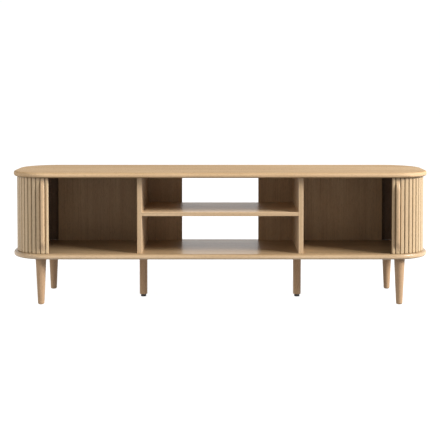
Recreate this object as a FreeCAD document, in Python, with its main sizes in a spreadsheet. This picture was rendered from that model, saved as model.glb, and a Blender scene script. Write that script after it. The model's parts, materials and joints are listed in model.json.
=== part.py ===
import FreeCAD, Part
import Sketcher
import math
import os

from FreeCAD import Placement, Rotation, Vector

# Media cabinet with a curved tambour door at each end.
# Millimetres, +Z up, front towards -Y, origin on the floor under the middle.

DIMENSIONS = {
    # whole cabinet
    "overall_width": 1600,
    "overall_depth": 380,
    "overall_height": 505,
    "leg_height": 177,
    "panel_thickness": 20,
    "edge_round": 8,
    # tambour doors: number of slats in a corner, on an end and over the travel
    "slats_per_corner": 11,
    "slats_per_end": 6,
    "slats_travelled": 20,
    "slat_thickness": 9,
    "slat_gap": 1,
    "slat_round": 4,
    "leading_slat_trim": 4,
    "slat_clearance": 1,
    "track_inset": 12,
    "track_width": 5,
    "track_depth": 6,
    "tongue_width": 4,
    "tongue_depth": 5,
    # uprights, shelf and back
    "divider_x": 306,
    "divider_thickness": 18,
    "divider_setback": 28,
    "board_round": 1.5,
    "shelf_top": 353,
    "shelf_thickness": 15,
    "back_thickness": 8,
    "back_setback": 27,
    "back_end_x": 663,
    "cable_gap": 312,
    # pulls
    "pull_width": 14,
    "pull_height": 264,
    "pull_proud": 11,
    "pull_ramp": 34,
    "pull_round": 2,
    # legs
    "leg_x": 682,
    "leg_y": 146,
    "leg_top_radius": 20.5,
    "leg_foot_radius": 12,
    "leg_foot_round": 6,
    "centre_leg_x": 303,
    "centre_leg_top_radius": 16,
    "centre_leg_foot_radius": 15,
    "levelling_height": 10,
    "levelling_radius": 10.5,
    "levelling_stem_radius": 4,
    "levelling_stem_length": 22,
    # fittings
    "bolt_radius": 4,
    "bolt_in_leg": 30,
    "bolt_in_panel": 13,
    "dowel_radius": 4,
    "dowel_length": 30,
    "dowel_pitch": 80,
    "pin_radius": 2.5,
    "pin_length": 16,
    "pin_in_divider": 8,
    "pin_inset": 45,
    "stop_length": 8,
}

doc = FreeCAD.newDocument("media_cabinet")
sheet = doc.addObject("Spreadsheet::Sheet", "Sheet")
for row, (alias, value) in enumerate(DIMENSIONS.items(), start=1):
    sheet.set(f"A{row}", alias)
    sheet.set(f"B{row}", str(value))
    sheet.setAlias(f"B{row}", alias)
workings = doc.addObject("Spreadsheet::Sheet", "Workings")
doc.recompute()


def dim(alias):
    """A driving dimension, read from the sheet."""
    return float(sheet.get(alias))


# ---------------------------------------------------------------- derived sizes

HALF_WIDTH = dim("overall_width") / 2
HALF_DEPTH = dim("overall_depth") / 2
FLOOR_Z = dim("leg_height") + dim("panel_thickness")
CEILING_Z = dim("overall_height") - dim("panel_thickness")
INNER_HEIGHT = CEILING_Z - FLOOR_Z

# The slats hinge on the cloth glued to their inner faces. Each corner of that
# hinge line is a polygon with one side to a slat, and each end holds a whole
# number of slats, which fixes the corner radius from the cabinet's depth.
SLAT_ANGLE = math.radians(90) / dim("slats_per_corner")
HINGE_INSET = dim("track_inset") + dim("slat_thickness")
CHORD_FACTOR = 2 * math.sin(SLAT_ANGLE / 2)
END_FACTOR = dim("slats_per_end") * CHORD_FACTOR
CORNER_RADIUS = (dim("overall_depth") + END_FACTOR * HINGE_INSET) / (2 + END_FACTOR)
HINGE_RADIUS = CORNER_RADIUS - HINGE_INSET
SLAT_PITCH = HINGE_RADIUS * CHORD_FACTOR
CORNER_X = HALF_WIDTH - CORNER_RADIUS
CORNER_Y = HALF_DEPTH - CORNER_RADIUS
HINGE_Y = HALF_DEPTH - HINGE_INSET

# Slats that never bend against each other, or bend only out of sight, share
# a node; all the others have their own. Numbers count from the leading edge.
SINGLE_SLATS = 12
SLAT_GROUPS = [(12, 17), (18, 20), (21, 28), (29, 31), (32, 37), (38, 41), (42, 45)]

BACK_FACE_Y = HALF_DEPTH - dim("back_setback") - dim("back_thickness")
BOARD_FRONT_Y = -HALF_DEPTH + dim("divider_setback")

LEFT = -1
RIGHT = 1
SIDES = {"left": LEFT, "right": RIGHT}

# ---------------------------------------------------------------- helpers


def origin_plane(body, role):
    """One of a body's own origin planes."""
    return [item for item in body.Origin.OriginFeatures if item.Role == role][0]


def new_body(label):
    body = doc.addObject("PartDesign::Body", label)
    body.Label = label
    return body


def rectangle_sketch(body, name, plane, width, height):
    """A rectangle centred on the plane's origin; width and height are expressions."""
    sketch = body.newObject("Sketcher::SketchObject", name)
    sketch.AttachmentSupport = [(origin_plane(body, plane), "")]
    sketch.MapMode = "FlatFace"
    corners = [Vector(-1, -1, 0), Vector(1, -1, 0), Vector(1, 1, 0), Vector(-1, 1, 0)]
    for start, end in zip(corners, corners[1:] + corners[:1]):
        sketch.addGeometry(Part.LineSegment(start, end))
    for line in range(4):
        add_constraint(sketch, "Coincident", line, 2, (line + 1) % 4, 1)
    for line, direction in enumerate(["Horizontal", "Vertical", "Horizontal", "Vertical"]):
        add_constraint(sketch, direction, line)
    add_constraint(sketch, "Symmetric", 0, 1, 1, 2, -1, 1)
    add_constraint(sketch, "DistanceX", 0, 1, 0, 2, 2.0, name="width", size=width)
    add_constraint(sketch, "DistanceY", 1, 1, 1, 2, 2.0, name="height", size=height)
    return sketch


def add_constraint(sketch, kind, *arguments, name=None, size=None):
    """Add one constraint; a named one takes its size from an expression."""
    index = sketch.addConstraint(Sketcher.Constraint(kind, *arguments))
    if name:
        sketch.renameConstraint(index, name)
        sketch.setExpression("Constraints." + name, size)


def polygon_sketch(body, name, plane, points):
    """A closed outline whose corners are pairs of expressions from the origin."""
    sketch = body.newObject("Sketcher::SketchObject", name)
    sketch.AttachmentSupport = [(origin_plane(body, plane), "")]
    sketch.MapMode = "FlatFace"
    values = [Vector(number_of(across), number_of(up), 0) for across, up in points]
    for start, end in zip(values, values[1:] + values[:1]):
        sketch.addGeometry(Part.LineSegment(start, end))
    count = len(points)
    for line in range(count):
        add_constraint(sketch, "Coincident", line, 2, (line + 1) % count, 1)
    for line, ((across, up), value) in enumerate(zip(points, values)):
        for kind, text, number in (("X", across, value.x), ("Y", up, value.y)):
            if number == 0:
                add_constraint(sketch, "PointOnObject", line, 1, -2 if kind == "X" else -1)
            else:
                add_constraint(sketch, "Distance" + kind, -1, 1, line, 1, number,
                               name=f"{kind.lower()}_of_{line}", size=text)
    return sketch


def number_of(expression):
    """What an expression comes to, worked out in a sheet of its own."""
    workings.set("A1", "=" + expression)
    workings.recompute()
    return float(workings.get("A1"))


def pad(body, sketch, length, middle=False):
    feature = body.newObject("PartDesign::Pad", sketch.Name + "_pad")
    feature.Profile = sketch
    feature.setExpression("Length", length)
    feature.Midplane = middle
    doc.recompute()
    return feature


def fillet(body, base, name, chosen, radius):
    """Round the edges of the base feature that the chosen test accepts."""
    names = []
    for number, edge in enumerate(base.Shape.Edges, start=1):
        if chosen(edge):
            names.append(f"Edge{number}")
    feature = body.newObject("PartDesign::Fillet", name)
    feature.Base = (base, names)
    feature.setExpression("Radius", radius)
    doc.recompute()
    return feature


def is_upright(edge):
    first, last = edge.Vertexes[0].Point, edge.Vertexes[-1].Point
    return abs(first.z - last.z) > 1 and abs(first.x - last.x) + abs(first.y - last.y) < 0.01


def is_level(edge):
    heights = [vertex.Point.z for vertex in edge.Vertexes]
    return max(heights) - min(heights) < 0.01


def board(label, width, depth, height, front_round=None):
    """A flat board centred in X and Y with its underside at z = 0."""
    body = new_body(label)
    sketch = rectangle_sketch(body, label + "_outline", "XY_Plane", width, depth)
    feature = pad(body, sketch, height)
    if front_round:
        front_y = feature.Shape.BoundBox.YMin
        fillet(body, feature, label + "_arris",
               lambda edge: edge.BoundBox.YMax < front_y + 1 and edge.Length > 100, front_round)
    return body


def slab(label, inset, height, edge_radius=None):
    """A board with the cabinet's large rounded corners, inset all round."""
    body = new_body(label)
    sketch = rectangle_sketch(body, label + "_outline", "XY_Plane",
                              f"Sheet.overall_width - 2 * {inset}",
                              f"Sheet.overall_depth - 2 * {inset}")
    feature = pad(body, sketch, height)
    feature = fillet(body, feature, label + "_corners", is_upright,
                     f"{CORNER_RADIUS:.6f} - {inset}")
    if edge_radius:
        feature = fillet(body, feature, label + "_edges", is_level, edge_radius)
    return body


def revolved(label, points):
    """A turned piece: an outline in X and Z, turned about the Z axis."""
    body = new_body(label)
    sketch = polygon_sketch(body, label + "_outline", "XZ_Plane", points)
    feature = body.newObject("PartDesign::Revolution", label + "_turn")
    feature.Profile = sketch
    feature.ReferenceAxis = (sketch, ["V_Axis"])
    feature.Angle = 360
    doc.recompute()
    return body


def cylinder(name, radius, length):
    """A round bar standing on z = 0; radius and length are expressions."""
    bar = doc.addObject("Part::Cylinder", name)
    bar.setExpression("Radius", radius)
    bar.setExpression("Height", length)
    doc.recompute()
    return bar


def copies(label, source, placements):
    """Separate copies of one solid, kept together as one group."""
    group = doc.addObject("Part::Feature", label)
    shape = source.Shape.copy()
    shape.Placement = Placement()
    solids = []
    for place in placements:
        solid = shape.copy()
        solid.Placement = place
        solids.append(solid)
    group.Shape = Part.makeCompound(solids)
    group.Placement = Placement()
    group.Label = label
    return group


def cut(label, base, tools):
    """Cut several tools out of one base; the result takes the label."""
    base.Label = label + "_blank"
    for number, tool in enumerate(tools):
        result = doc.addObject("Part::Cut", f"{label}_cut_{number}")
        result.Base = base
        result.Tool = tool
        doc.recompute()
        base = result
    base.Label = label
    return base


def at(x, y, z, axis=Vector(0, 0, 1), degrees=0):
    return Placement(Vector(x, y, z), Rotation(axis, degrees))


# ---------------------------------------------------------------- tambour path


def hinge_point(side, place):
    """Where the hinge line is, counted in slats from the front tangent point."""
    corner = dim("slats_per_corner")
    end = corner + dim("slats_per_end")
    rear = end + corner
    if place <= 0:
        x, y = CORNER_X + place * SLAT_PITCH, -HINGE_Y
    elif place <= corner:
        turn = place * SLAT_ANGLE
        x = CORNER_X + HINGE_RADIUS * math.sin(turn)
        y = -CORNER_Y - HINGE_RADIUS * math.cos(turn)
    elif place <= end:
        x, y = CORNER_X + HINGE_RADIUS, -CORNER_Y + (place - corner) * SLAT_PITCH
    elif place <= rear:
        turn = (place - end) * SLAT_ANGLE
        x = CORNER_X + HINGE_RADIUS * math.cos(turn)
        y = CORNER_Y + HINGE_RADIUS * math.sin(turn)
    else:
        x, y = CORNER_X - (place - rear) * SLAT_PITCH, HINGE_Y
    return Vector(side * x, y, 0)


def slat_placement(side, slat, z):
    """The middle of one slat's inner face, with local +Y towards the inside."""
    leading = hinge_point(side, slat - 1)
    trailing = hinge_point(side, slat)
    along = (leading - trailing) * -side
    turn = math.degrees(math.atan2(along.y, along.x))
    middle = (leading + trailing) * 0.5
    return at(middle.x, middle.y, z, degrees=turn)


# ---------------------------------------------------------------- hardware

hanger_bolt = cylinder("hanger_bolt", "Sheet.bolt_radius", "Sheet.bolt_in_leg + Sheet.bolt_in_panel")
leg_places = [(side * dim("leg_x"), depth * dim("leg_y")) for side in (LEFT, RIGHT) for depth in (-1, 1)]
leg_places += [(side * dim("centre_leg_x"), 0) for side in (LEFT, RIGHT)]
bolt_z = dim("leg_height") - dim("bolt_in_leg")
hanger_bolts = copies("hanger_bolts", hanger_bolt, [at(x, y, bolt_z) for x, y in leg_places])

dowel = cylinder("dowel", "Sheet.dowel_radius", "Sheet.dowel_length")
board_middle_y = (BOARD_FRONT_Y + BACK_FACE_Y) / 2
dowel_places = []
for side in (LEFT, RIGHT):
    for step in (-1.5, -0.5, 0.5, 1.5):
        for joint_z in (FLOOR_Z, CEILING_Z):
            dowel_y = board_middle_y + step * dim("dowel_pitch")
            dowel_places.append(at(side * dim("divider_x"), dowel_y, joint_z - dim("dowel_length") / 2))
divider_dowels = copies("divider_dowels", dowel, dowel_places)

shelf_pin = cylinder("shelf_pin", "Sheet.pin_radius", "Sheet.pin_length")
divider_face_x = dim("divider_x") - dim("divider_thickness") / 2
shelf_underside = dim("shelf_top") - dim("shelf_thickness")
pin_places = []
for side in (LEFT, RIGHT):
    for pin_y in (BOARD_FRONT_Y + dim("pin_inset"), BACK_FACE_Y - dim("pin_inset")):
        pin_x = side * (divider_face_x + dim("pin_in_divider"))
        pin_z = shelf_underside - dim("pin_radius")
        pin_places.append(at(pin_x, pin_y, pin_z, Vector(0, 1, 0), -side * 90))
shelf_pins = copies("shelf_pins", shelf_pin, pin_places)

stop_block = doc.addObject("Part::Box", "stop_block")
stop_block.setExpression("Length", "Sheet.stop_length")
stop_block.setExpression("Width", "Sheet.track_width")
stop_block.setExpression("Height", "Sheet.track_depth")
doc.recompute()
track_y = -HALF_DEPTH + dim("track_inset") + (dim("slat_thickness") - dim("track_width")) / 2
closed_edge_x = CORNER_X - (dim("slats_travelled") + 1) * SLAT_PITCH + dim("leading_slat_trim")
stop_places = []
for side in (LEFT, RIGHT):
    for stop_z in (FLOOR_Z - dim("track_depth"), CEILING_Z):
        stop_x = side * closed_edge_x - (dim("stop_length") if side == RIGHT else 0)
        stop_places.append(at(stop_x, track_y, stop_z))
track_stops = copies("track_stops", stop_block, stop_places)

# ---------------------------------------------------------------- top and bottom


def track_cutter(label, z):
    """The two tracks: a band along the slats' middle, left out between the doors."""
    outer_inset = "(Sheet.track_inset + (Sheet.slat_thickness - Sheet.track_width) / 2)"
    inner_inset = "(Sheet.track_inset + (Sheet.slat_thickness + Sheet.track_width) / 2)"
    outer = slab(label + "_outer", outer_inset, "Sheet.track_depth")
    inner = slab(label + "_inner", inner_inset, "Sheet.track_depth")
    band = cut(label + "_band", outer, [inner])
    middle = doc.addObject("Part::Box", label + "_middle")
    half_middle = closed_edge_x - dim("stop_length")
    middle.Length = 2 * half_middle
    middle.setExpression("Width", "Sheet.overall_depth")
    middle.setExpression("Height", "Sheet.track_depth")
    middle.Placement = at(-half_middle, -HALF_DEPTH, 0)
    tracks = cut(label, band, [middle])
    tracks.Placement = at(0, 0, z)
    return tracks


top_blank = slab("top_panel", "0", "Sheet.panel_thickness", "Sheet.edge_round")
top_blank.Placement = at(0, 0, CEILING_Z)
top_tracks = track_cutter("top_tracks", CEILING_Z)
top_panel = cut("top_panel", top_blank, [top_tracks, divider_dowels])

bottom_blank = slab("bottom_panel", "0", "Sheet.panel_thickness", "Sheet.edge_round")
bottom_blank.Placement = at(0, 0, dim("leg_height"))
bottom_tracks = track_cutter("bottom_tracks", FLOOR_Z - dim("track_depth"))
bottom_panel = cut("bottom_panel", bottom_blank, [bottom_tracks, divider_dowels, hanger_bolts])

# ---------------------------------------------------------------- dividers, shelf, back

INNER_HEIGHT_TEXT = "Sheet.overall_height - Sheet.leg_height - 2 * Sheet.panel_thickness"
BOARD_DEPTH_TEXT = ("Sheet.overall_depth - Sheet.divider_setback - Sheet.back_setback"
                    " - Sheet.back_thickness")

dividers = []
for word, side in SIDES.items():
    label = word + "_divider"
    blank = board(label, "Sheet.divider_thickness", BOARD_DEPTH_TEXT, INNER_HEIGHT_TEXT,
                  "Sheet.board_round")
    blank.Placement = at(side * dim("divider_x"), board_middle_y, FLOOR_Z)
    dividers.append(cut(label, blank, [divider_dowels, shelf_pins]))

centre_shelf = board("centre_shelf", "2 * Sheet.divider_x - Sheet.divider_thickness",
                     BOARD_DEPTH_TEXT, "Sheet.shelf_thickness", "Sheet.board_round")
centre_shelf.Placement = at(0, board_middle_y, shelf_underside)

back_panels = []
for word, side in SIDES.items():
    panel = board(word + "_back_panel", "Sheet.back_end_x - Sheet.cable_gap / 2",
                  "Sheet.back_thickness", INNER_HEIGHT_TEXT)
    panel_x = side * (dim("back_end_x") + dim("cable_gap") / 2) / 2
    panel.Placement = at(panel_x, BACK_FACE_Y + dim("back_thickness") / 2, FLOOR_Z)
    back_panels.append(panel)

# ---------------------------------------------------------------- legs and feet


def corner_leg(label, x, y):
    """A turned leg that narrows downwards to a rounded foot."""
    body = revolved(label, [("0", "0"), ("Sheet.leg_foot_radius", "0"),
                            ("Sheet.leg_top_radius", "Sheet.leg_height"),
                            ("0", "Sheet.leg_height")])
    turned = body.Tip
    fillet(body, turned, label + "_foot", lambda edge: is_level(edge) and edge.BoundBox.ZMax < 1,
           "Sheet.leg_foot_round")
    body.Placement = at(x, y, 0)
    return cut(label, body, [hanger_bolts])


def centre_leg(label, x, foot):
    """A plain leg, bored underneath for the levelling foot's stem."""
    body = revolved(label, [("0", "Sheet.levelling_height"),
                            ("Sheet.centre_leg_foot_radius", "Sheet.levelling_height"),
                            ("Sheet.centre_leg_top_radius", "Sheet.leg_height"),
                            ("0", "Sheet.leg_height")])
    body.Placement = at(x, 0, 0)
    return cut(label, body, [hanger_bolts, foot])


def levelling_foot(label, x):
    """A moulded pad with a threaded stem that screws into the leg."""
    stem_top = "Sheet.levelling_height + Sheet.levelling_stem_length"
    body = revolved(label, [("0", "0"), ("Sheet.levelling_radius", "0"),
                            ("Sheet.levelling_radius", "Sheet.levelling_height"),
                            ("Sheet.levelling_stem_radius", "Sheet.levelling_height"),
                            ("Sheet.levelling_stem_radius", stem_top), ("0", stem_top)])
    body.Placement = at(x, 0, 0)
    return body


legs = []
feet = []
for word, side in SIDES.items():
    for place, depth in (("front", -1), ("rear", 1)):
        leg_name = f"{place}_{word}_leg"
        legs.append(corner_leg(leg_name, side * dim("leg_x"), depth * dim("leg_y")))
    centre_x = side * dim("centre_leg_x")
    foot = levelling_foot(word + "_levelling_foot", centre_x)
    feet.append(foot)
    legs.append(centre_leg(word + "_centre_leg", centre_x, foot))

# ---------------------------------------------------------------- doors


def slat_master(label, trim):
    """One slat: outer face at -Y with softened corners, inner face at y = 0."""
    body = new_body(label)
    sketch = rectangle_sketch(body, label + "_outline", "XY_Plane",
                              f"{SLAT_PITCH:.6f} - Sheet.slat_gap - {trim}", "Sheet.slat_thickness")
    feature = pad(body, sketch, INNER_HEIGHT_TEXT + " - 2 * Sheet.slat_clearance")
    fillet(body, feature, label + "_arris",
           lambda edge: is_upright(edge) and edge.Vertexes[0].Point.y < 0, "Sheet.slat_round")
    body.Placement = at(0, -dim("slat_thickness") / 2, 0)
    return body


def leading_slat_master():
    """The narrower leading slat, with a tongue at each end that runs in the tracks."""
    slat = slat_master("trimmed_slat", "Sheet.leading_slat_trim")
    tongue = doc.addObject("Part::Box", "slat_tongue")
    tongue.Length = SLAT_PITCH - 3 * dim("slat_gap") - dim("leading_slat_trim")
    tongue.setExpression("Width", "Sheet.tongue_width")
    tongue.setExpression("Height", INNER_HEIGHT_TEXT + " + 2 * Sheet.tongue_depth")
    tongue_y = -(dim("slat_thickness") + dim("tongue_width")) / 2
    tongue.Placement = at(-tongue.Length.Value / 2, tongue_y, -dim("tongue_depth") - dim("slat_clearance"))
    fused = doc.addObject("Part::Fuse", "leading_slat")
    fused.Base = slat
    fused.Tool = tongue
    doc.recompute()
    return fused


def slat_node(label, source, side, first, last, shift=0):
    """A node of one or more separate slats, placed at its first slat."""
    base = at(shift, 0, 0) * slat_placement(side, first, FLOOR_Z + dim("slat_clearance"))
    solids = []
    for number in range(first, last + 1):
        solid = source.Shape.copy()
        offset = base.inverse() * at(shift, 0, 0)
        offset = offset * slat_placement(side, number, FLOOR_Z + dim("slat_clearance"))
        solid.Placement = offset * solid.Placement
        solids.append(solid)
    node = doc.addObject("Part::Feature", label)
    node.Shape = solids[0] if len(solids) == 1 else Part.makeCompound(solids)
    node.Placement = base * node.Shape.Placement if len(solids) == 1 else base
    node.Label = label
    return node


def pull(label, side):
    """A tall bar that ramps up from both ends, scooped on its leading flank."""
    body = new_body(label)
    top = "Sheet.pull_height / 2"
    shoulder = "(Sheet.pull_height / 2 - Sheet.pull_ramp)"
    sketch = polygon_sketch(body, label + "_profile", "YZ_Plane",
                            [("0", "-" + top), ("0", top),
                             ("-Sheet.pull_proud", shoulder), ("-Sheet.pull_proud", "-" + shoulder)])
    feature = pad(body, sketch, "Sheet.pull_width", middle=True)
    fillet(body, feature, label + "_arris",
           lambda edge: edge.BoundBox.YMax < -1 and edge.BoundBox.YMin < -dim("pull_proud") + 0.01
           and edge.BoundBox.XLength < 0.01 and edge.BoundBox.YLength < 0.01, "Sheet.pull_round")
    middle_z = INNER_HEIGHT / 2
    base = slat_placement(side, 1, FLOOR_Z + middle_z)
    body.Placement = base * at(0, -dim("slat_thickness"), 0)
    return body


slat = slat_master("slat", "0")
leading_slat = leading_slat_master()
door_nodes = []
for word, side in SIDES.items():
    door_nodes.append(slat_node(word + "_leading_slat", leading_slat, side, 0, 0,
                                side * dim("leading_slat_trim") / 2))
    for number in range(1, SINGLE_SLATS):
        door_nodes.append(slat_node(f"{word}_slat_{number:02d}", slat, side, number, number))
    for first, last in SLAT_GROUPS:
        door_nodes.append(slat_node(f"{word}_slats_{first}_to_{last}", slat, side, first, last))
    door_nodes.append(pull(word + "_pull", side))

# ---------------------------------------------------------------- check and export

doc.recompute()
nodes = [top_panel, bottom_panel, centre_shelf, hanger_bolts, divider_dowels, shelf_pins, track_stops]
nodes += dividers + back_panels + legs + feet + door_nodes

for item in doc.Objects:
    if "Invalid" in item.State or "Error" in item.State:
        raise RuntimeError(f"{item.Label} failed: {item.State}")
for node in nodes:
    if node.Shape.isNull() or not node.Shape.isValid():
        raise RuntimeError(f"{node.Label} has no valid shape")

os.makedirs("parts", exist_ok=True)
for node in nodes:
    node.Shape.exportStep(f"parts/{node.Label}.step")
print(f"{len(nodes)} nodes, corner radius {CORNER_RADIUS:.2f}, slat pitch {SLAT_PITCH:.3f}")
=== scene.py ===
import json
import math

import bmesh
import bpy
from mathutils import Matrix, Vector

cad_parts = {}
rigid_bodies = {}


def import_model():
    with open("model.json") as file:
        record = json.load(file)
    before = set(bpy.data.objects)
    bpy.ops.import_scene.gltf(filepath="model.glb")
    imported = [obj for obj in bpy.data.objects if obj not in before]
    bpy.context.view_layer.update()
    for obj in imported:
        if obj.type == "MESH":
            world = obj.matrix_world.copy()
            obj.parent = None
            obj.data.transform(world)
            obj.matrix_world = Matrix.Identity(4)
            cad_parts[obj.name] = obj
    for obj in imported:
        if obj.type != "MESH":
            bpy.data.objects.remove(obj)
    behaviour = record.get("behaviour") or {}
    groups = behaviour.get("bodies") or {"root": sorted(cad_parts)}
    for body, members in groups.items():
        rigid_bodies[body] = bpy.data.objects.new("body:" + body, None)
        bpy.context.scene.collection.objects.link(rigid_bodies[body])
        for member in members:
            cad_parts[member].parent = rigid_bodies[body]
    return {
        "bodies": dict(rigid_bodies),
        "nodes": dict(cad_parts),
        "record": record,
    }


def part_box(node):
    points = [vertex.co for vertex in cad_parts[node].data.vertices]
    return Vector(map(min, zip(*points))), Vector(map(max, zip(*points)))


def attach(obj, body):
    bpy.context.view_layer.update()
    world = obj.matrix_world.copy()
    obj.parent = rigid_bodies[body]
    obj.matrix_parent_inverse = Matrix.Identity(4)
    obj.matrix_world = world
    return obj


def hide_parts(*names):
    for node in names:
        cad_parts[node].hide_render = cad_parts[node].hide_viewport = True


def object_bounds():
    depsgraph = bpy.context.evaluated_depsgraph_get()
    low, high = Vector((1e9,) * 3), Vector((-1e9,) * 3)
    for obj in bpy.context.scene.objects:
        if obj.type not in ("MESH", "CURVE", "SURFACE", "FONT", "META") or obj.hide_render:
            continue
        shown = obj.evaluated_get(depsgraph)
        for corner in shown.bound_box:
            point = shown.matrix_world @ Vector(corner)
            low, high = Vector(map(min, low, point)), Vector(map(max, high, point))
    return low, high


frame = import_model()
cad_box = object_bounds()
low, high = cad_box
nodes = frame["nodes"]
scene = bpy.context.scene
SIDES = (("left", -1), ("right", 1))

# ------------------------------------------------------------------ camera

CAMERA_DISTANCE = 3.766
CAMERA_HEIGHT = 0.8444
CAMERA_TILT = 2.0

camera_data = bpy.data.cameras.new("camera")
camera_data.lens = 82.375
camera_data.sensor_width = 36.0
camera_data.shift_x = -0.0005
camera_data.shift_y = -0.233
camera = bpy.data.objects.new("camera", camera_data)
camera.location = (0.0, low.y - CAMERA_DISTANCE, CAMERA_HEIGHT)
camera.rotation_euler = (math.radians(90.0 - CAMERA_TILT), 0.0, 0.0)
scene.collection.objects.link(camera)
scene.camera = camera

# ------------------------------------------------------------------ light, floor

scene.view_settings.view_transform = "Standard"


def area_light(name, azimuth, elevation, distance, size, power, colour):
    """A square lamp aimed at the cabinet; azimuth 0 is the front, 90 the right."""
    a, e = math.radians(azimuth), math.radians(elevation)
    outward = Vector((math.sin(a) * math.cos(e), -math.cos(a) * math.cos(e), math.sin(e)))
    data = bpy.data.lights.new(name, "AREA")
    data.shape = "SQUARE"
    data.size = size
    data.energy = power
    data.color = colour
    lamp = bpy.data.objects.new(name, data)
    lamp.location = (low + high) / 2 + outward * distance
    lamp.rotation_euler = outward.to_track_quat("Z", "Y").to_euler()
    scene.collection.objects.link(lamp)


area_light("key_light", 66, 32, 9.0, 3.2, 1300, (1.0, 1.005, 0.99))
area_light("fill_light", -62, 22, 6.0, 4.0, 110, (1.0, 0.96, 0.88))


def studio_world(ambient, gloss_front):
    """White to the camera, dimmer as light, and brighter behind in reflections."""
    world = bpy.data.worlds.new("studio")
    world.use_nodes = True
    scene.world = world
    tree = world.node_tree
    tree.nodes.clear()
    output = tree.nodes.new("ShaderNodeOutputWorld")
    background = tree.nodes.new("ShaderNodeBackground")
    background.inputs["Color"].default_value = (1.0, 1.0, 1.0, 1.0)
    direction = tree.nodes.new("ShaderNodeTexCoord")
    axes = tree.nodes.new("ShaderNodeSeparateXYZ")
    behind = tree.nodes.new("ShaderNodeMapRange")
    behind.inputs["From Min"].default_value = -0.1
    behind.inputs["From Max"].default_value = 0.35
    behind.inputs["To Min"].default_value = gloss_front
    behind.inputs["To Max"].default_value = 1.0
    ray = tree.nodes.new("ShaderNodeLightPath")
    glossy = tree.nodes.new("ShaderNodeMix")
    glossy.inputs["A"].default_value = ambient
    seen = tree.nodes.new("ShaderNodeMix")
    seen.inputs["B"].default_value = 1.02
    link = tree.links.new
    link(direction.outputs["Generated"], axes.inputs[0])
    link(axes.outputs["Y"], behind.inputs["Value"])
    link(ray.outputs["Is Glossy Ray"], glossy.inputs["Factor"])
    link(behind.outputs[0], glossy.inputs["B"])
    link(ray.outputs["Is Camera Ray"], seen.inputs["Factor"])
    link(glossy.outputs["Result"], seen.inputs["A"])
    link(seen.outputs["Result"], background.inputs["Strength"])
    link(background.outputs[0], output.inputs[0])


studio_world(0.32, 0.12)


FLOOR_REACH = 30.0


def floor():
    """A large pale floor that casts no diffuse light on the cabinet."""
    mesh = bpy.data.meshes.new("studio_floor")
    corners = ((-1, -1), (1, -1), (1, 1), (-1, 1))
    mesh.from_pydata([(FLOOR_REACH * x, FLOOR_REACH * y, 0) for x, y in corners], [], [(0, 1, 2, 3)])
    plane = bpy.data.objects.new("studio_floor", mesh)
    scene.collection.objects.link(plane)
    material = bpy.data.materials.new("studio_floor")
    material.use_nodes = True
    shader = material.node_tree.nodes["Principled BSDF"]
    shader.inputs["Base Color"].default_value = (0.22, 0.22, 0.22, 1.0)
    shader.inputs["Roughness"].default_value = 0.95
    shader.inputs["Specular IOR Level"].default_value = 0.0
    shader.inputs["Emission Color"].default_value = (1.0, 1.0, 1.0, 1.0)
    shader.inputs["Emission Strength"].default_value = 0.96
    mesh.materials.append(material)
    plane.visible_diffuse = False


floor()

# ------------------------------------------------------------------ materials


class Graph:
    """Short calls for building one material's nodes."""

    def __init__(self, name):
        self.material = bpy.data.materials.new(name)
        self.material.use_nodes = True
        self.tree = self.material.node_tree
        self.shader = self.tree.nodes["Principled BSDF"]

    def node(self, kind, **inputs):
        made = self.tree.nodes.new("ShaderNode" + kind)
        for key, value in inputs.items():
            self.feed(made.inputs[key.replace("_", " ")], value)
        return made

    def feed(self, socket, value):
        if isinstance(value, bpy.types.NodeSocket):
            self.tree.links.new(value, socket)
        else:
            socket.default_value = value

    def place(self):
        return self.node("TexCoord").outputs["Object"]

    def stretched(self, vector, scale, offset=(0, 0, 0)):
        mapping = self.node("Mapping", Vector=vector, Scale=scale, Location=offset)
        return mapping.outputs[0]

    def noise(self, vector, detail=2.0, rough=0.5, distortion=0.0):
        made = self.node("TexNoise", Vector=vector, Scale=1.0, Detail=detail, Roughness=rough,
                         Distortion=distortion)
        return made.outputs["Fac"]

    def spread(self, value, low_in, high_in, low_out=0.0, high_out=1.0):
        made = self.node("MapRange", Value=value)
        made.inputs["From Min"].default_value = low_in
        made.inputs["From Max"].default_value = high_in
        made.inputs["To Min"].default_value = low_out
        made.inputs["To Max"].default_value = high_out
        return made.outputs[0]

    def math(self, operation, first, second=0.0):
        made = self.tree.nodes.new("ShaderNodeMath")
        made.operation = operation
        self.feed(made.inputs[0], first)
        self.feed(made.inputs[1], second)
        return made.outputs[0]

    def mix(self, factor, first, second):
        made = self.tree.nodes.new("ShaderNodeMix")
        made.data_type = "RGBA"
        self.feed(made.inputs[0], factor)
        self.feed(made.inputs[6], first)
        self.feed(made.inputs[7], second)
        return made.outputs[2]

    def edges(self, radius):
        """1 along the arrises and 0 on the faces."""
        bevel = self.tree.nodes.new("ShaderNodeBevel")
        bevel.samples = 4
        bevel.inputs["Radius"].default_value = radius
        flat = self.tree.nodes.new("ShaderNodeNewGeometry")
        product = self.tree.nodes.new("ShaderNodeVectorMath")
        product.operation = "DOT_PRODUCT"
        self.tree.links.new(bevel.outputs[0], product.inputs[0])
        self.tree.links.new(flat.outputs["Normal"], product.inputs[1])
        return self.spread(product.outputs["Value"], 0.995, 0.85)

    def bump(self, height, strength, distance):
        made = self.node("Bump", Height=height, Strength=strength, Distance=distance)
        self.tree.links.new(made.outputs[0], self.shader.inputs["Normal"])

    def finish(self, colour, roughness, specular=0.5, coat=0.0, coat_roughness=0.2):
        self.feed(self.shader.inputs["Base Color"], colour)
        self.feed(self.shader.inputs["Roughness"], roughness)
        self.shader.inputs["Specular IOR Level"].default_value = specular
        self.shader.inputs["Coat Weight"].default_value = coat
        self.shader.inputs["Coat Roughness"].default_value = coat_roughness
        return self.material


ALONG = {"X": (1, 0, 0), "Y": (0, 1, 0), "Z": (0, 0, 1)}


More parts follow.
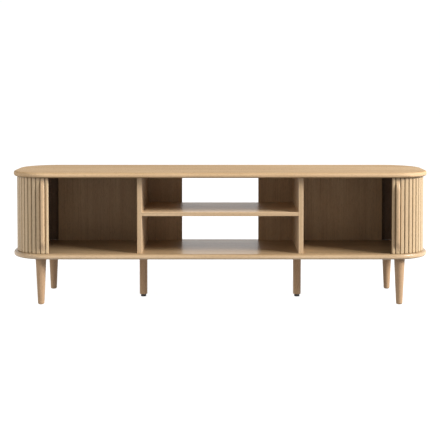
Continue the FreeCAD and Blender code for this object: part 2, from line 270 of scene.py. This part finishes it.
def grain_scale(along, lengthwise, crosswise):
    """Noise cells to the metre along the grain and across it."""
    return tuple(lengthwise if axis else crosswise for axis in ALONG[along])


def rgb(r, g, b):
    return (r, g, b, 1.0)


def oak(name, along, pale, mid, dark, per_piece=0.0, shift=(0, 0, 0), gloss=0.46, coat=0.2,
        coat_roughness=0.22, specular=0.45, figure=26.0, painted_light_by_facing=None,
        painted_groove_shade=0.0):
    """Straight-grained oak under a satin lacquer, with its grain along one axis; it can also carry painted
    light and shade by which way a face points, and painted shade in the hollows between slats.
    """
    g = Graph(name)
    place = g.place()
    drift = g.noise(g.stretched(place, grain_scale(along, 0.9, 7.0), shift), 3.0, 0.55)
    rings = g.noise(g.stretched(place, grain_scale(along, 0.8, figure), shift), 4.0, 0.6, 0.35)
    lines = g.noise(g.stretched(place, grain_scale(along, 2.2, figure * 7), shift), 3.0, 0.6, 0.2)
    fibre = g.noise(g.stretched(place, grain_scale(along, 14, 1100), shift), 2.0, 0.6)
    pores = g.noise(g.stretched(place, grain_scale(along, 70, 1900), shift), 1.0, 0.5)
    flecks = g.noise(g.stretched(place, grain_scale(along, 120, 420), shift), 1.0, 0.5)

    tone = g.math("ADD", g.math("MULTIPLY", rings, 0.62), g.math("MULTIPLY", lines, 0.38))
    colour = g.mix(g.spread(tone, 0.36, 0.64), mid, pale)
    colour = g.mix(g.spread(drift, 0.42, 0.66, 0.0, 0.45), colour, dark)
    colour = g.mix(g.spread(lines, 0.30, 0.42, 0.55, 0.0), colour, dark)
    colour = g.mix(g.spread(fibre, 0.35, 0.62, 0.16, 0.0), colour, dark)
    pore_mask = g.spread(pores, 0.33, 0.40, 0.5, 0.0)
    colour = g.mix(pore_mask, colour, tuple(0.42 * value for value in dark[:3]) + (1.0,))
    colour = g.mix(g.spread(flecks, 0.66, 0.74, 0.0, 0.22), colour, pale)
    # Painted light and shade: faces that stand upright are lightened and faces that lie flat are darkened,
    # chosen by which way the surface points.
    if painted_light_by_facing:
        normal = g.node("SeparateXYZ")
        g.feed(normal.inputs[0], g.tree.nodes.new("ShaderNodeNewGeometry").outputs["Normal"])
        upright = g.math("SUBTRACT", 1.0, g.math("ABSOLUTE", normal.outputs["Z"]))
        face = g.node("HueSaturation", Color=colour, Value=painted_light_by_facing[0], Saturation=1.08)
        painted_light_upright = g.node("HueSaturation", Color=colour, Value=painted_light_by_facing[1])
        colour = g.mix(g.spread(upright, 0.25, 0.75), face.outputs[0], painted_light_upright.outputs[0])
    if per_piece:
        info = g.node("ObjectInfo").outputs["Random"]
        patches = g.noise(g.stretched(place, (31, 31, 0.2)), 0.0)
        level = g.math("ADD", g.math("MULTIPLY", info, 0.6), g.math("MULTIPLY", patches, 0.4))
        value = g.spread(level, 0.0, 1.0, 1.0 - per_piece, 1.0 + per_piece)
        tinted = g.node("HueSaturation", Color=colour, Value=value)
        colour = tinted.outputs[0]
    # Painted shade: the colour darkens where ambient occlusion finds the hollows between slats.
    if painted_groove_shade:
        groove_occlusion = g.node("AmbientOcclusion", Distance=0.007)
        groove_occlusion.samples = 6
        colour = g.mix(g.spread(groove_occlusion.outputs["AO"], 0.25, 0.85, painted_groove_shade, 0.0), colour,
                       tuple(0.30 * value for value in dark[:3]) + (1.0,))
    edge = g.edges(0.0012)
    worn = g.math("MULTIPLY", edge, g.spread(drift, 0.35, 0.65, 0.15, 0.5))
    # Edge wear is held back where the hollows between slats get painted shade.
    worn = g.math("MULTIPLY", worn, 1.0 - painted_groove_shade)
    colour = g.mix(worn, colour, tuple(min(1.0, 1.12 * value) for value in pale[:3]) + (1.0,))

    rough = g.spread(fibre, 0.3, 0.7, gloss + 0.07, gloss - 0.05)
    rough = g.math("ADD", rough, g.math("MULTIPLY", pore_mask, 0.2))
    rough = g.math("ADD", rough, g.math("MULTIPLY", worn, 0.12))
    height = g.math("ADD", g.math("MULTIPLY", fibre, 0.45), g.math("MULTIPLY", lines, 0.35))
    height = g.math("SUBTRACT", height, g.math("MULTIPLY", pore_mask, 0.6))
    g.bump(height, 0.35, 0.00025)
    return g.finish(colour, rough, specular, coat, coat_roughness)


PALE = rgb(0.700, 0.505, 0.315)
MID = rgb(0.600, 0.410, 0.235)
DARK = rgb(0.420, 0.262, 0.137)

# The top's flat face is darkened (painted shade) and its upright edges lightened (painted light).
top_oak = oak("top_oak", "X", PALE, MID, DARK, figure=30.0, coat=0.0, specular=0.15, gloss=0.6,
              painted_light_by_facing=(0.82, 1.20))
# The panels' flat faces are darkened (painted shade) and their upright edges lightened a little (painted
# light).
panel_oak = oak("panel_oak", "X", PALE, MID, DARK, figure=30.0, coat=0.45, shift=(6.3, 4.7, 0.9),
                painted_light_by_facing=(0.64, 1.08))
shelf_oak = oak("shelf_oak", "X", PALE, MID, DARK, figure=30.0, coat=0.3, shift=(3.1, 0.7, 1.9))
divider_oak = oak("divider_oak", "Z", PALE, MID, DARK, figure=32.0, shift=(1.3, 2.7, 0.4))
# The slats carry painted shade in the hollows between them.
slat_oak = oak("slat_oak", "Z", rgb(0.73, 0.552, 0.345), rgb(0.63, 0.450, 0.258), rgb(0.43, 0.283, 0.150),
               per_piece=0.07, figure=60.0, shift=(0.3, 0.9, 5.1), painted_groove_shade=0.7)
pull_oak = oak("pull_oak", "Z", rgb(0.74, 0.53, 0.32), rgb(0.66, 0.45, 0.26), DARK, figure=70.0,
               shift=(7.7, 1.4, 2.2))
back_oak = oak("back_oak", "Z", rgb(0.60, 0.42, 0.245), rgb(0.49, 0.335, 0.19), rgb(0.31, 0.20, 0.105),
               figure=34.0, shift=(5.5, 0.2, 3.3), coat=0.0, specular=0.3)
leg_oak = oak("leg_oak", "Z", rgb(0.60, 0.405, 0.248), rgb(0.52, 0.328, 0.190), rgb(0.36, 0.21, 0.107),
              figure=48.0, shift=(2.9, 4.1, 0.8), coat=0.0, specular=0.3)
centre_leg_wood = oak("centre_leg_wood", "Z", rgb(0.66, 0.42, 0.24), rgb(0.56, 0.345, 0.19),
                      rgb(0.38, 0.22, 0.11), figure=50.0, shift=(9.1, 3.3, 1.2), coat=0.0, specular=0.3)
dowel_beech = oak("dowel_beech", "Z", rgb(0.70, 0.54, 0.37), rgb(0.62, 0.46, 0.30), rgb(0.50, 0.33, 0.20),
                  figure=120.0, coat=0.0, gloss=0.6)


def plastic(name, colour, roughness):
    """Moulded plastic with a fine spark texture and a little dust."""
    g = Graph(name)
    place = g.place()
    spark = g.noise(g.stretched(place, (2600, 2600, 2600)), 2.0)
    dust = g.noise(g.stretched(place, (60, 60, 60)), 4.0)
    faded = tuple(min(1.0, 2.2 * value + 0.01) for value in colour[:3]) + (1.0,)
    tint = g.mix(g.spread(dust, 0.5, 0.75, 0.0, 0.6), colour, faded)
    tint = g.mix(g.math("MULTIPLY", g.edges(0.0008), 0.5), tint, faded)
    g.bump(spark, 0.3, 0.0001)
    return g.finish(tint, g.spread(dust, 0.3, 0.7, roughness - 0.06, roughness + 0.1), 0.45)


def zinc(name):
    """Zinc-plated steel: faint spangle, turning marks and dull patches."""
    g = Graph(name)
    place = g.place()
    spangle = g.node("TexVoronoi", Vector=g.stretched(place, (520, 520, 520)), Scale=1.0)
    marks = g.noise(g.stretched(place, (300, 300, 2600)), 2.0)
    dull = g.noise(g.stretched(place, (90, 90, 90)), 4.0)
    tint = g.mix(g.spread(spangle.outputs["Distance"], 0.1, 0.7), rgb(0.66, 0.66, 0.67), rgb(0.5, 0.5, 0.52))
    tint = g.mix(g.spread(dull, 0.5, 0.7, 0.0, 0.5), tint, rgb(0.36, 0.36, 0.37))
    tint = g.mix(g.math("MULTIPLY", g.edges(0.0006), 0.6), tint, rgb(0.8, 0.8, 0.8))
    g.shader.inputs["Metallic"].default_value = 1.0
    g.bump(marks, 0.25, 0.0001)
    return g.finish(tint, g.spread(dull, 0.3, 0.7, 0.28, 0.46))


def canvas(name):
    """The doors' cloth: a plain weave of dark threads, slubbed and glue-stained."""
    g = Graph(name)
    place = g.place()
    warp = g.node("TexWave", Vector=place, Scale=240.0, Distortion=1.2)
    warp.inputs["Detail"].default_value = 1.0
    warp.bands_direction = "DIAGONAL"
    weft = g.node("TexWave", Vector=place, Scale=300.0, Distortion=1.0)
    weft.inputs["Detail"].default_value = 1.0
    weft.bands_direction = "Z"
    weave = g.math("MULTIPLY", warp.outputs["Fac"], weft.outputs["Fac"])
    slub = g.noise(g.stretched(place, (90, 90, 900)), 3.0)
    stain = g.noise(g.stretched(place, (18, 18, 12)), 4.0)
    tint = g.mix(weave, rgb(0.130, 0.086, 0.058), rgb(0.270, 0.185, 0.125))
    tint = g.mix(g.spread(slub, 0.4, 0.7, 0.0, 0.4), tint, rgb(0.310, 0.220, 0.155))
    tint = g.mix(g.spread(stain, 0.45, 0.7, 0.0, 0.4), tint, rgb(0.100, 0.066, 0.045))
    g.shader.inputs["Sheen Weight"].default_value = 0.15
    g.shader.inputs["Sheen Roughness"].default_value = 0.6
    g.bump(weave, 0.6, 0.0004)
    return g.finish(tint, g.spread(slub, 0.3, 0.7, 0.95, 0.8), 0.2)


foot_plastic = plastic("foot_plastic", rgb(0.018, 0.017, 0.017), 0.5)
stop_plastic = plastic("stop_plastic", rgb(0.040, 0.038, 0.036), 0.45)
hardware_steel = zinc("hardware_steel")
backing_cloth = canvas("backing_cloth")

BY_SLOT = {
    "panel_oak": panel_oak,
    "slat_oak": slat_oak,
    "pull_oak": pull_oak,
    "board_oak": divider_oak,
    "back_oak": back_oak,
    "leg_oak": leg_oak,
    "centre_leg_wood": centre_leg_wood,
    "foot_plastic": foot_plastic,
    "hardware_steel": hardware_steel,
    "dowel_beech": dowel_beech,
    "stop_plastic": stop_plastic,
}


def dress(thing, material):
    """Give every face of an object one material."""
    if not thing.data.materials:
        thing.data.materials.append(material)
    for place in thing.material_slots:
        place.material = material


for part in frame["record"]["subparts"]:
    dress(nodes[part["node"]], BY_SLOT[part["material_slot"]])
dress(nodes["centre_shelf"], shelf_oak)
dress(nodes["top_panel"], top_oak)

# ------------------------------------------------------------------ pulls

PULL_SECTIONS = 72
PULL_RAMP = 0.036
PULL_PROUD = 0.011
PULL_END_HEIGHT = 0.0004
PULL_MARGIN = 0.0002


def pull_outline(height, lead, half):
    """One section through a pull: (across the slat, out from it), in metres."""
    back = [(-half, 0.0), (-half + 0.0003, 0.35 * height), (-half + 0.0009, 0.72 * height),
            (-half + 0.0020, 0.93 * height), (-half + 0.0036, height)]
    brow = [(0.0, height), (half - 0.0030, 0.985 * height), (half - 0.0012, 0.93 * height),
            (half - 0.0002, 0.82 * height), (half - 0.0004, 0.70 * height)]
    scoop = [(half - 0.0020, 0.58 * height), (half - 0.0038, 0.42 * height),
             (half - 0.0046, 0.25 * height), (half - 0.0042, 0.10 * height), (half - 0.0030, 0.0)]
    return [(lead * along, out) for along, out in back + brow + scoop]


def make_pull(word, side):
    """A tall grip that rises out of its slat, hollowed on its leading flank."""
    lowest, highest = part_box(word + "_pull")
    face_y = lowest.y + PULL_PROUD
    middle_x = (lowest.x + highest.x) / 2
    half = (highest.x - lowest.x) / 2 - PULL_MARGIN
    span = highest.z - lowest.z
    full_rise = PULL_PROUD - PULL_END_HEIGHT - PULL_MARGIN
    vertices, faces = [], []
    for step in range(PULL_SECTIONS + 1):
        along = step / PULL_SECTIONS
        rise = min(1.0, min(along, 1 - along) * span / PULL_RAMP)
        height = PULL_END_HEIGHT + full_rise * rise * rise * (3 - 2 * rise)
        for across, out in pull_outline(height, -side, half):
            vertices.append((middle_x + across, face_y - out, lowest.z + along * span))
    count = len(pull_outline(1.0, 1, half))
    for step in range(PULL_SECTIONS):
        for corner in range(count):
            following = (corner + 1) % count
            faces.append((step * count + corner, step * count + following,
                          (step + 1) * count + following, (step + 1) * count + corner))
    faces.append(tuple(range(count)))
    faces.append(tuple(PULL_SECTIONS * count + corner for corner in reversed(range(count))))
    mesh = bpy.data.meshes.new(word + "_pull_grip")
    mesh.from_pydata(vertices, [], faces)
    mesh.validate()
    grip = bpy.data.objects.new(word + "_pull_grip", mesh)
    scene.collection.objects.link(grip)
    outward(mesh)
    mesh.shade_smooth()
    mesh.set_sharp_from_angle(angle=math.radians(50))
    dress(grip, pull_oak)
    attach(grip, word + "_slat_01")
    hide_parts(word + "_pull")


def outward(mesh):
    """Turn every face of a closed mesh to face out."""
    working = bmesh.new()
    working.from_mesh(mesh)
    bmesh.ops.recalc_face_normals(working, faces=working.faces)
    working.to_mesh(mesh)
    working.free()


for word, side in SIDES:
    make_pull(word, side)

# ------------------------------------------------------------------ doors' cloth

# Neighbouring strips lie at two depths and lap past the middle of the gap between their slats.
# Slats 29 to 31 stay flat where the track bends, so their strip and the next one are cut short.
LAYER = 0.0004
LAYER_GAP = 0.0001
HALF_GAP = 0.0005
LAP = 0.0002
LAP_BY_GROUP = {"slats_29_to_31": -0.0004, "slats_32_to_37": -0.0004}
CLOTH_BELOW = 0.0008
CLOTH_ROWS = 24
RIPPLE = 0.00003
NARROWEST_SLAT = 0.0105
SHORTEST_SLAT = 0.2
STEEPEST_LEAN = 0.01
DOOR_MIDDLE_X = 0.55


def inner_faces(node, side):
    """Where the strips go: each inner plane of a node's slats, its reach and its heights."""
    mesh = nodes[node].data
    inside = Vector((side * DOOR_MIDDLE_X, 0.0, 0.0))
    planes = {}
    for face in mesh.polygons:
        normal = face.normal
        if abs(normal.z) > STEEPEST_LEAN:
            continue
        if normal.dot(inside - Vector((face.center.x, face.center.y, 0.0))) <= 0:
            continue
        turn = round(math.degrees(math.atan2(normal.y, normal.x)), 1)
        offset = round(normal.dot(face.center), 4)
        planes.setdefault((turn, offset), []).append(face)
    found = []
    for faces in planes.values():
        normal = faces[0].normal.copy()
        along = Vector((-normal.y, normal.x, 0.0))
        points = [mesh.vertices[index].co for face in faces for index in face.vertices]
        reach = [point.dot(along) for point in points]
        heights = [point.z for point in points]
        wide = max(reach) - min(reach) > NARROWEST_SLAT
        tall = max(heights) - min(heights) > SHORTEST_SLAT
        if wide and tall:
            found.append((normal, along, points[0].dot(normal), min(reach) - HALF_GAP, max(reach) + HALF_GAP,
                          min(heights) - CLOTH_BELOW, max(heights)))
    return found


def cloth_section(start, end, over, lap, ripple):
    """One section through a strip: a strip that laps over stands on a stem."""
    left, right = start - lap, end + lap
    if not over:
        return [(left, 0.0), (left, LAYER + ripple), (right, LAYER - ripple), (right, 0.0)]
    lip = LAYER + LAYER_GAP
    return [(start + HALF_GAP, 0.0), (start + HALF_GAP, lip), (left, lip), (left, lip + LAYER + ripple),
            (right, lip + LAYER - ripple), (right, lip), (end - HALF_GAP, lip), (end - HALF_GAP, 0.0)]


def make_cloth(body, side, over, lap):
    """The strip of cloth glued to the inner faces of one body's slats."""
    vertices, faces = [], []
    for normal, along, offset, start, end, low_z, high_z in inner_faces(body, side):
        base = len(vertices)
        for row in range(CLOTH_ROWS + 1):
            z = low_z + (high_z - low_z) * row / CLOTH_ROWS
            ripple = RIPPLE * math.sin(row * 2.1 + start * 900)
            section = cloth_section(start, end, over, lap, ripple)
            for reach, depth in section:
                point = normal * (offset + depth) + along * reach
                vertices.append((point.x, point.y, z))
        count = len(section)
        for row in range(CLOTH_ROWS):
            for corner in range(count):
                first = base + row * count + corner
                second = base + row * count + (corner + 1) % count
                faces.append((first, second, second + count, first + count))
        faces.append(tuple(range(base, base + count)))
        last = base + CLOTH_ROWS * count
        faces.append(tuple(reversed(range(last, last + count))))
    mesh = bpy.data.meshes.new(body + "_cloth")
    mesh.from_pydata(vertices, [], faces)
    outward(mesh)
    cloth = bpy.data.objects.new(body + "_cloth", mesh)
    scene.collection.objects.link(cloth)
    dress(cloth, backing_cloth)
    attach(cloth, body)


for word, side in SIDES:
    door = sorted(body for body in frame["bodies"] if body.startswith(word + "_"))
    for index, body in enumerate(door):
        lap = LAP_BY_GROUP.get(body.removeprefix(word + "_"), LAP)
        make_cloth(body, side, index % 2 == 1, lap)
